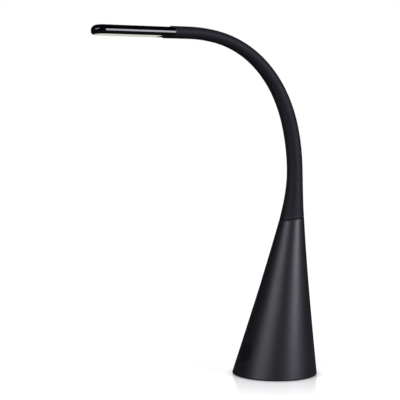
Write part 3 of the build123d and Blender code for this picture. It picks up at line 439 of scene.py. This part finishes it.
@dataclass(frozen=True)
class NeckLine:
    """The neck's centreline in the XZ plane: a stiff root, seven links and a straight end.

    Each span is an arc that turns by its own bend.  Distances run from the seam.
    """

    seam_x: float = 26.74
    seam_z: float = 194.0
    seam_heading: float = -7.8
    root_length: float = 43.4
    root_bend: float = 5.0
    link_length: float = 39.0
    link_bends: tuple[float, ...] = (8.5, 10.0, 14.0, 16.5, 17.5, 17.0, 11.7)

    def pivots(self) -> np.ndarray:
        """Distances of the eight pivots along the neck."""
        return self.root_length + self.link_length * np.arange(len(self.link_bends) + 1)

    def spans(self) -> tuple[np.ndarray, ...]:
        """Each span's start point, heading, turn per millimetre and distance.

        Returns:
            Arrays x, z, heading, rate and start; the last span is the straight end.
        """
        lengths = np.array([self.root_length] + [self.link_length] * len(self.link_bends))
        bends = np.radians([self.root_bend, *self.link_bends])
        start = np.concatenate([[0.0], np.cumsum(lengths)])
        heading = math.radians(self.seam_heading) + np.concatenate([[0.0], np.cumsum(bends)])
        middle = heading[:-1] + bends / 2
        chord = lengths * np.sinc(bends / 2 / math.pi)
        x = self.seam_x - np.concatenate([[0.0], np.cumsum(chord * np.sin(middle))])
        z = self.seam_z + np.concatenate([[0.0], np.cumsum(chord * np.cos(middle))])
        return x, z, heading, np.append(bends / lengths, 0.0), start

    def at(self, distance: np.ndarray) -> tuple[np.ndarray, np.ndarray]:
        """Find points and headings on the line.

        A point is its span's start plus the arc's chord, laid along the middle heading.

        Args:
            distance: along the neck; below 0 the line runs straight down.

        Returns:
            Points with a last axis of three, and headings in radians.
        """
        x, z, heading, rate, start = self.spans()
        span = np.clip(np.searchsorted(start, distance, side="right") - 1, 0, len(start) - 1)
        rate = np.where(distance < 0, 0.0, rate[span])
        run = distance - start[span]
        half = rate * run / 2
        chord, middle = run * np.sinc(half / math.pi), heading[span] + half
        points = np.stack([x[span] - chord * np.sin(middle), np.zeros_like(run),
                           z[span] + chord * np.cos(middle)], -1)
        return points, heading[span] + 2 * half

    def ring(self, distance: np.ndarray, radius: np.ndarray, angle: np.ndarray) -> Rings:
        """Points round the neck: the centre plus the radius across the heading.

        Args:
            distance: along the neck, broadcast against the angle.
            radius: from the centreline.
            angle: radians from the neck's back towards +Y.

        Returns:
            Points, with the coordinates on the last axis.
        """
        distance, radius, angle = np.broadcast_arrays(distance, radius, angle)
        centre, heading = self.at(distance)
        out = radius * np.cos(angle)
        offset = np.stack([out * np.cos(heading), radius * np.sin(angle), out * np.sin(heading)], -1)
        return centre + offset


CONE = Cone()
NECK = NeckLine()
WRIST = float(NECK.pivots()[-1])


# ---------------------------------------------------------------------------
# Neck
# ---------------------------------------------------------------------------

@dataclass(frozen=True)
class Hose:
    """A round piece that follows the neck's bent line from end to end.

    It is cut half-way along each link, so that each stretch holds one pivot.
    it, so that neighbours meet at every pose.
    """

    name: str
    surface: Surface
    slot: Slot
    nodes: tuple[str, str, str]         # its solids at the root, on the links and at the tip
    start: float
    end: float
    bore: float
    step: float                         # spacing of the rows that carry no detail
    around: int
    bore_step: float = 3.0              # spacing of the bore's rows
    turn: float = 17.0                  # how far a bend would spread each side of a pivot
    from_far: tuple[int, ...] = (6,)    # stretches that rounding would break if bent from the near body

    def outer(self, distance: np.ndarray, angle: np.ndarray) -> Rings:
        """Points on the outside; each kind of hose gives its own."""
        raise NotImplementedError

    def rows(self, start: float, end: float) -> np.ndarray:
        """Distances of the rows between two cuts."""
        return np.linspace(start, end, max(2, int(round((end - start) / self.step)) + 1))

    def skin(self, start: float, end: float) -> Skin:
        """One stretch: the outside and the bore, joined at both ends, or a capped bar."""
        angle = angles(self.around)[None, :]
        outside = self.outer(self.rows(start, end)[:, None], angle)
        if not self.bore:
            return Skin(outside, cap_first=True, cap_last=True)
        inner_rows = np.linspace(end, start, max(2, int((end - start) / self.bore_step)))[:, None]
        inside = NECK.ring(inner_rows, np.array(self.bore), angle)
        return Skin(np.concatenate([outside, inside]), close_rows=True)

    def build(self) -> list[bpy.types.Object]:
        """Make every stretch along the neck's line and hide the solids that it stands in for.

        Returns:
            The stretches, from the base to the head.
        """
        pivots = NECK.pivots()
        cuts = [self.start, *(pivots[:-1] + NECK.link_length / 2), self.end]
        root, link, tip = self.nodes
        owners = [root, *(f"{link}_{k}" for k in range(1, 8)), tip]
        made = []
        for k, pivot in enumerate(pivots):
            stretch = self.skin(cuts[k], cuts[k + 1])
            piece = make_piece(f"{self.name}_{k + 1}", [stretch], self.surface)
            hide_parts(*(owners[k:k + 2] if k == 0 else owners[k + 1:k + 2]))
            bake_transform(piece)
            made.append(piece)
        return made


@dataclass(frozen=True)
class Sleeve(Hose):
    """The silicone sleeve: it flares out of the cone at the seam and carries fine ribs."""

    foot_radius: float = 10.05
    tip_radius: float = 7.35
    taper_start: float = 95.0
    taper_end: float = 305.0
    rib_pitch: float = 1.5              # coarser than the real 1 mm, so that it shows
    rib_depth: float = 0.16
    rib_power: int = 5                  # a higher one makes the grooves narrower
    rib_rows: tuple[float, ...] = (0.0, 0.09, 0.2, 0.5, 0.8, 0.91)      # as shares of the pitch
    row_gap: float = 0.02               # least distance between a rib's row and an end
    ribs_from: float = 2.5
    ribs_ease: float = 4.0              # over which the ribs reach their depth
    tip_plain: float = 1.5              # without ribs at the tip
    tip_ease: float = 2.0
    lip_depth: float = 0.7              # the foot's edge rolls in, which draws the seam's line
    lip_height: float = 1.3
    settle: float = 14.0                # over which the cone's form becomes the neck's
    level: float = 60.0                 # over which the rows turn from the seam's tilt

    def radius(self, distance: np.ndarray) -> np.ndarray:
        """Outer radius: a square-law flare at the foot and one smooth taper."""
        flare_length = 2 * (CONE.seam_radius - self.foot_radius) / -CONE.seam_slope
        flare = np.maximum(0.0, 1 - distance / flare_length)
        taper = smooth((distance - self.taper_start) / (self.taper_end - self.taper_start))
        return (self.foot_radius + (CONE.seam_radius - self.foot_radius) * flare**2
                - (self.foot_radius - self.tip_radius) * taper)

    def groove(self, distance: np.ndarray) -> np.ndarray:
        """Depth of the relief: a narrow groove every rib, and a rolled lip at the foot."""
        cut = np.abs(np.cos(np.pi * distance / self.rib_pitch)) ** self.rib_power
        foot = smooth((distance - self.ribs_from) / self.ribs_ease)
        tip = smooth((self.end - self.tip_plain - distance) / self.tip_ease)
        lip = np.clip(1 - (distance - self.start) / self.lip_height, 0.0, 1.0) ** 2
        return self.rib_depth * cut * foot * tip + self.lip_depth * lip

    def rows(self, start: float, end: float) -> np.ndarray:
        """Each rib's rows, bunched at its groove, between the two ends."""
        first, last = round(start / self.rib_pitch), round(end / self.rib_pitch)
        rows = (np.arange(first, last)[:, None] + self.rib_rows).ravel() * self.rib_pitch
        inside = (rows > start + self.row_gap) & (rows < end - self.row_gap)
        return np.concatenate([[start], rows[inside], [end]])

    def outer(self, distance: np.ndarray, angle: np.ndarray) -> Rings:
        """Points on the sleeve: the cone carried on at the seam, eased into the neck's rings."""
        height = CONE.seam_at(angle)
        seam = CONE.point(angle, height) - np.array([CONE.setback, 0.0, CONE.seam_height])
        lean = math.radians(NECK.seam_heading)
        offset = seam[..., 2] * math.cos(lean) - seam[..., 0] * math.sin(lean)
        along = distance + offset * (1 - smooth(distance / self.level))
        depth = self.groove(distance)
        neck = NECK.ring(along, self.radius(along) - depth, angle)
        cone = CONE.point(angle, height + distance * math.cos(lean), depth)
        share = smooth(distance / self.settle)[..., None]
        return cone * (1 - share) + neck * share


@dataclass(frozen=True)
class Coil(Hose):
    """The gooseneck itself: round wire wound close, its turns a fine helix on the outside."""

    coil_radius: float = 5.0
    pitch: float = 2.6
    crest: float = 0.35

    def outer(self, distance: np.ndarray, angle: np.ndarray) -> Rings:
        """Points on the coil: the radius falls between turns, and the turns wind round."""
        wave = np.abs(np.sin(np.pi * distance / self.pitch + angle / 2))
        return NECK.ring(distance, self.coil_radius - self.crest * (1 - wave) ** 2, angle)


@dataclass(frozen=True)
class Lead(Hose):
    """The two-core lead inside the gooseneck: a plain round jacket."""

    jacket_radius: float = 1.7

    def outer(self, distance: np.ndarray, angle: np.ndarray) -> Rings:
        """Points on the jacket: one radius all along."""
        return NECK.ring(distance, np.array(self.jacket_radius), angle)


@dataclass(frozen=True)
class Neck:
    """The three hoses, one inside the other, from the base to the head."""

    hoses: tuple[Hose, ...] = (
        Sleeve("sleeve", Surface.SILICONE, Slot.SLEEVE, ("sleeve_root", "sleeve_link", "sleeve_tip"),
               start=0.25, end=WRIST + 24.05, bore=5.1, step=1.5, around=72),
        Coil("gooseneck", Surface.SPRING_STEEL, Slot.CORE, ("core_root", "core_link", "core_tip"),
             start=0.55, end=WRIST + 20.4, bore=2.4, step=0.65, around=24),
        Lead("lead", Surface.LEAD_PVC, Slot.LEAD, ("lead_root", "lead_link", "lead_tip"),
             start=-160.0, end=WRIST + 40.7, bore=0.0, step=4.0, around=16),
    )

    def build(self) -> None:
        """Build every hose, from the outside in."""
        for hose in self.hoses:
            hose.build()


# ---------------------------------------------------------------------------
# Screws
# ---------------------------------------------------------------------------

@dataclass(frozen=True)
class CrossScrews:
    """Equal screws that show from outside, each head with its cross recess.

    The slots' half-width, the ramp of their walls and their depth are shares of the cross;
    slot_rise is the share of the depth that they lose towards their ends.
    """

    name: str
    node: str
    body: str
    head_radius: float
    shank_radius: float
    head_height: float          # from the head's face to where the shank begins
    length: float               # from the head's face to the shank's end
    edge: float                 # rounding of the face's edge
    cross: float                # across the recess
    countersunk: bool = False
    slot_half: float = 0.13
    slot_ramp: float = 0.05
    slot_depth: float = 0.4
    slot_rise: float = 0.55
    around: int = 96
    face_rows: int = 34
    edge_rows: int = 5

    def recess(self, x: np.ndarray, y: np.ndarray) -> np.ndarray:
        """Depth of the recess: two crossed slots that grow shallower towards their ends."""
        arm, width, ramp = self.cross / 2, self.cross * self.slot_half, self.cross * self.slot_ramp
        long_x, long_y, thin_x, thin_y = (np.clip((half - np.abs(t)) / ramp + 0.5, 0.0, 1.0)
                                          for half in (arm, width) for t in (x, y))
        inside = np.maximum(long_x * thin_y, long_y * thin_x)
        rise = self.slot_rise * np.clip(np.hypot(x, y) / arm, 0.0, 1.0)
        return self.slot_depth * self.cross * inside * (1 - rise)

    def profile(self) -> tuple[np.ndarray, np.ndarray]:
        """Radii and depths of the rows: face, rounded edge, seat or countersink, and shank."""
        turn = np.linspace(0.0, math.pi / 2, self.edge_rows + 1)[1:]
        flat = np.linspace(0.0, self.head_radius - self.edge, self.face_rows)
        below = self.shank_radius if self.countersunk else self.head_radius
        radius = np.concatenate([flat, flat[-1] + self.edge * np.sin(turn),
                                 [below, self.shank_radius, self.shank_radius, 0.0]])
        depth = np.concatenate([0 * flat, self.edge * (1 - np.cos(turn)),
                                [self.head_height, self.head_height, self.length, self.length]])
        return radius, depth

    def skin(self, face: np.ndarray, side: np.ndarray, inward: np.ndarray) -> Skin:
        """One screw: its profile turned round the axis, with the recess sunk in the face.

        Args:
            face: centre of the head's face.
            side: unit direction across the head.
            inward: unit direction from the face along the shank.

        Returns:
            The screw's skin.
        """
        radius, depth = (row[:, None] for row in self.profile())
        angle = angles(self.around)[None, :]
        x, y = radius * np.cos(angle), radius * np.sin(angle)
        sunk = depth + np.where(depth == 0, self.recess(x, y), 0.0)
        across = np.cross(inward, side)
        return Skin(face + x[..., None] * side + y[..., None] * across + sunk[..., None] * inward)

    def seats(self) -> tuple[Rings, np.ndarray, np.ndarray]:
        """Place the screws; each kind gives its own.

        Returns:
            Centres of the faces, and the unit directions across the heads and inwards.
        """
        raise NotImplementedError

    def build(self) -> bpy.types.Object:
        """Make every screw of the node as one piece that rides its body."""
        faces, side, inward = self.seats()
        piece = make_piece(self.name, [self.skin(face, side, inward) for face in faces],
                           Surface.ZINC_STEEL, crease=25.0)
        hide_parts(self.node)
        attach(piece, self.body)
        return piece


@dataclass(frozen=True)
class PlateScrews(CrossScrews):
    """The four countersunk screws of the floor plate, flush with its underside."""

    name: str = "plate_screw_heads"
    node: str = "plate_screws"
    body: str = "base"
    head_radius: float = 2.9
    shank_radius: float = 1.45
    head_height: float = 1.45
    length: float = 12.0
    edge: float = 0.08
    cross: float = 3.3
    countersunk: bool = True
    inset: float = 7.7          # from the cone's foot to a screw's axis
    turns: tuple[float, ...] = (52.0, 128.0, 232.0, 308.0)

    def seats(self) -> tuple[Rings, np.ndarray, np.ndarray]:
        """Set the faces on a circle, at the height of the solids' undersides."""
        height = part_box(self.node)[0][2] / MM
        turns = np.radians(self.turns)
        circle = CONE.foot_radius - self.inset
        faces = np.stack([circle * np.cos(turns), circle * np.sin(turns), 0 * turns + height], -1)
        return faces, np.array([1.0, 0.0, 0.0]), np.array([0.0, 0.0, 1.0])


@dataclass(frozen=True)
class HeadScrews(CrossScrews):
    """The two pan-head screws in their wells under the head's rear end."""

    name: str = "head_screw_heads"
    node: str = "head_screws"
    body: str = "head"
    head_radius: float = 1.5
    shank_radius: float = 0.8
    head_height: float = 0.9
    length: float = 6.9
    edge: float = 0.35
    cross: float = 1.7
    past_wrist: float = 33.1
    off_middle: float = 8.8     # to either side
    below_line: float = 4.85    # from the neck's centreline down to the faces

    def seats(self) -> tuple[Rings, np.ndarray, np.ndarray]:
        """Set the faces either side of the head's middle, square to its line."""
        (centre,), (heading,) = NECK.at(np.array([WRIST + self.past_wrist]))
        upward = np.array([math.cos(heading), 0.0, math.sin(heading)])
        across = np.array([0.0, 1.0, 0.0])
        sides = np.array([-1, 1])[:, None]
        return centre - self.below_line * upward + sides * self.off_middle * across, across, upward


# ---------------------------------------------------------------------------
# Studio
# ---------------------------------------------------------------------------

@dataclass(frozen=True)
class Softbox:
    """A rectangular light that faces the lamp."""

    name: str
    bearing: float          # degrees from -Y towards -X, seen from the lamp
    reach: float            # metres from the lamp's middle
    height: float
    width: float
    tall: float
    radiance: float
    roll: float = 0.0       # degrees that its top leans to the left, seen from the lamp
    aim: tuple[float, float, float] = (-0.06, 0.0, 0.21)
    colour: str = "#ffffff"

    def build(self) -> bpy.types.Object:
        """Hang the light: its power is pi times its area times the radiance that it shows."""
        light = bpy.data.lights.new(self.name, "AREA")
        light.shape, light.size, light.size_y = "RECTANGLE", self.width, self.tall
        light.energy = math.pi * self.width * self.tall * self.radiance
        light.color = linear(self.colour)[:3]
        box = bpy.data.objects.new(self.name, light)
        turn = math.radians(self.bearing)
        box.location = (-self.reach * math.sin(turn), -self.reach * math.cos(turn), self.height)
        towards = Vector(self.aim) - box.location
        facing = towards.to_track_quat("-Z", "Y") @ Quaternion((0, 0, 1), math.radians(-self.roll))
        box.rotation_euler = facing.to_euler()
        bpy.context.scene.collection.objects.link(box)
        return box


@dataclass(frozen=True)
class Table:
    """A pale table: white to the eye, dark at the contact, polished beside the base.

    Reaches are from the lamp's foot, in metres: where a change begins and where it ends.
    """

    half: float = 6.0
    colour: tuple[float, float, float, float] = (0.18, 0.18, 0.185, 1.0)    # that lights the lamp
    glow: float = 0.92              # under and beside the base; a full one in the open
    glow_reach: tuple[float, float] = (0.10, 0.30)
    contact: float = 0.010          # reach of the dark line round the foot
    polish: float = 0.31            # beside the base, fading outwards
    polish_reach: tuple[float, float] = (0.055, 0.175)
    polish_power: float = 1.6
    roughness: float = 0.14

    def build(self) -> bpy.types.Object:
        """Lay the table under the lamp."""
        half = self.half
        mesh = bpy.data.meshes.new("table")
        mesh.from_pydata([(-half, -half, 0), (half, -half, 0), (half, half, 0), (-half, half, 0)],
                         [], [(0, 1, 2, 3)])
        mesh.materials.append(self.material())
        table = bpy.data.objects.new("table", mesh)
        bpy.context.scene.collection.objects.link(table)
        return table

    def material(self) -> bpy.types.Material:
        """Build the table's material, which the lamp sees as a plain one.

        Returns:
            The material; the table shows from above only.
        """
        material = bpy.data.materials.new("pale_table")
        material.use_nodes = True
        tree = material.node_tree
        tree.nodes.clear()
        ray = add(tree, "ShaderNodeLightPath")
        plain = add(tree, "ShaderNodeBsdfDiffuse", {"Color": self.colour})
        reach = add(tree, "ShaderNodeVectorMath", {"operation": "LENGTH"},
                    {0: add(tree, "ShaderNodeTexCoord").outputs["Object"]})
        glow = add(tree, "ShaderNodeMapRange", {
            "From Min": self.glow_reach[0], "From Max": self.glow_reach[1],
            "To Min": self.glow, "To Max": 1.0}, {"Value": reach.outputs["Value"]})
        contact = add(tree, "ShaderNodeAmbientOcclusion", {"samples": 16, "Distance": self.contact})
        level = add(tree, "ShaderNodeMath", {"operation": "MULTIPLY"},
                    {0: contact.outputs["AO"], 1: glow.outputs["Result"]})
        white = add(tree, "ShaderNodeEmission", {"Color": (1, 1, 1, 1)},
                    {"Strength": level.outputs[0]})
        lifted = add(tree, "ShaderNodeAddShader", {}, {0: plain.outputs[0], 1: white.outputs[0]})
        share = add(tree, "ShaderNodeMapRange", {
            "From Min": self.polish_reach[0], "From Max": self.polish_reach[1],
            "To Min": 1.0, "To Max": 0.0}, {"Value": reach.outputs["Value"]})
        fade = add(tree, "ShaderNodeMath", {"operation": "POWER", 1: self.polish_power},
                   {0: share.outputs["Result"]})
        polish = add(tree, "ShaderNodeMath", {"operation": "MULTIPLY", 1: self.polish},
                     {0: fade.outputs[0]})
        gloss = add(tree, "ShaderNodeBsdfGlossy", {"Color": (1, 1, 1, 1), "Roughness": self.roughness})
        polished = add(tree, "ShaderNodeMixShader", {}, {
            0: polish.outputs[0], 1: lifted.outputs[0], 2: gloss.outputs[0]})
        shown = add(tree, "ShaderNodeMixShader", {}, {
            0: ray.outputs["Is Camera Ray"], 1: plain.outputs[0], 2: polished.outputs[0]})
        one_sided = add(tree, "ShaderNodeMixShader", {}, {
            0: add(tree, "ShaderNodeNewGeometry").outputs["Backfacing"],
            1: shown.outputs[0], 2: add(tree, "ShaderNodeBsdfTransparent").outputs[0]})
        add(tree, "ShaderNodeOutputMaterial", {}, {"Surface": one_sided.outputs[0]})
        return material


@dataclass(frozen=True)
class Studio:
    """The table, a dim even surround and two softboxes either side of the camera."""

    camera_place: tuple[float, float, float] = (-0.7205, -1.0290, 0.2492)
    camera_aim: tuple[float, float, float] = (0.5109, 0.8593, -0.0251)
    lens: float = 90.0
    ambient: float = 0.25
    ambient_colour: str = "#f6f7ff"
    mirror_level: float = 0.014     # what a gloss surface sees where there is no softbox
    backdrop: tuple[float, float, float] = (0.560, 0.806, 0.190)    # towards the lit patch's middle
    patch_core: float = 7.0         # degrees from the middle, inside which the patch is white
    patch_edge: float = 13.0        # and where it ends
    boxes: tuple[Softbox, ...] = (
        Softbox("softbox_left", 75.0, 1.15, 0.74, 0.20, 0.84, 12.5, roll=68.0, colour="#f0f1ff"),
        Softbox("softbox_right", -23.0, 1.15, 0.66, 0.42, 0.38, 20.5, colour="#f3f0ff"),
    )

    def build(self) -> None:
        """Set up the camera, the lights, the surround and the table."""
        scene = bpy.context.scene
        scene.view_settings.view_transform = "Standard"
        data = bpy.data.cameras.new("camera")
        data.lens, data.sensor_width = self.lens, 36.0
        data.clip_start, data.clip_end = 0.05, 50.0
        camera = bpy.data.objects.new("camera", data)
        camera.location = self.camera_place
        camera.rotation_euler = Vector(self.camera_aim).to_track_quat("-Z", "Y").to_euler()
        scene.collection.objects.link(camera)
        scene.camera = camera
        for box in self.boxes:
            box.build()
        self.surround()
        Table().build()

    def surround(self) -> None:
        """Light the world: white to the eye, dim all round, with one lit patch of backdrop."""
        world = bpy.data.worlds.new("surround")
        bpy.context.scene.world = world
        world.use_nodes = True
        tree = world.node_tree
        tree.nodes.clear()
        ray = add(tree, "ShaderNodeLightPath")
        towards = add(tree, "ShaderNodeTexCoord").outputs["Generated"]
        near = add(tree, "ShaderNodeVectorMath", {"operation": "DOT_PRODUCT", 1: self.backdrop},
                   {0: towards})
        patch = add(tree, "ShaderNodeMapRange", {
            "From Min": math.cos(math.radians(self.patch_edge)),
            "From Max": math.cos(math.radians(self.patch_core)),
            "To Min": self.mirror_level, "To Max": 1.0}, {"Value": near.outputs["Value"]})
        ambient = add(tree, "ShaderNodeBackground",
                      {"Color": linear(self.ambient_colour), "Strength": self.ambient})
        mirror = add(tree, "ShaderNodeBackground", {"Color": (1, 1, 1, 1)},
                     {"Strength": patch.outputs["Result"]})
        seen = add(tree, "ShaderNodeBackground", {"Color": (1, 1, 1, 1), "Strength": 1.0})
        bounced = add(tree, "ShaderNodeMath", {"operation": "MAXIMUM"}, {
            0: ray.outputs["Is Glossy Ray"], 1: ray.outputs["Is Transmission Ray"]})
        unlit = add(tree, "ShaderNodeMixShader", {}, {
            0: bounced.outputs[0], 1: ambient.outputs[0], 2: mirror.outputs[0]})
        mixed = add(tree, "ShaderNodeMixShader", {}, {
            0: ray.outputs["Is Camera Ray"], 1: unlit.outputs[0], 2: seen.outputs[0]})
        add(tree, "ShaderNodeOutputWorld", {}, {"Surface": mixed.outputs[0]})


# ---------------------------------------------------------------------------
# Whole lamp
# ---------------------------------------------------------------------------

@dataclass(frozen=True)
class CadDress:
    """Finishes for the CAD solids that show as they are."""

    finishes: tuple[tuple[Surface, tuple[str, ...]], ...] = (
        (Surface.SATIN_ABS, ("base_shell",)),
        (Surface.FLOOR_ABS, ("base_plate",)),
        (Surface.FOOT_RUBBER, ("foot_pad",)),
        (Surface.CAST_IRON, ("base_weight",)),
        (Surface.ZINC_STEEL, ("weight_screws", "board_screws", "touch_screws", "grub_screw")),
        (Surface.NICKEL_STEEL, ("neck_ferrule", "ferrule_washer", "ferrule_nut", "head_ferrule")),
        (Surface.SOLDER_MASK, ("driver_board", "touch_board")),
        (Surface.COMPONENT_EPOXY, ("driver_components", "power_jack")),
        (Surface.NYLON, ("board_connectors", "led_connector")),
        (Surface.TOUCH_ABS, ("touch_cap",)),
        (Surface.FOAM, ("touch_foam",)),
        (Surface.BRASS, ("jack_pin",)),
        (Surface.LEAD_PVC, ("jack_lead", "touch_lead")),
        (Surface.PIANO_ABS, ("head_cover", "head_tray")),
        (Surface.COLLAR_ABS, ("head_collar",)),
        (Surface.OPAL_ACRYLIC, ("diffuser",)),
        (Surface.WHITE_PC, ("reflector",)),
        (Surface.ROLLED_ALUMINIUM, ("heat_spreader", "led_board")),
        (Surface.LED_PHOSPHOR, ("led_chips",)),
    )

    def build(self) -> None:
        """Give each solid its material."""
        for surface, nodes in self.finishes:
            for name in nodes:
                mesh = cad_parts[name].data
                mesh.materials.clear()
                mesh.materials.append(surface.material())
                LOG.info("%s dressed in %s", name, surface.value.name)


def main() -> None:
    """Build the studio and the lamp, in order, and report each piece."""
    logging.basicConfig(level=logging.INFO, format="%(name)s: %(message)s")
    Studio().build()
    CadDress().build()
    Neck().build()
    PlateScrews().build()
    HeadScrews().build()


if __name__ == "__main__":
    main()
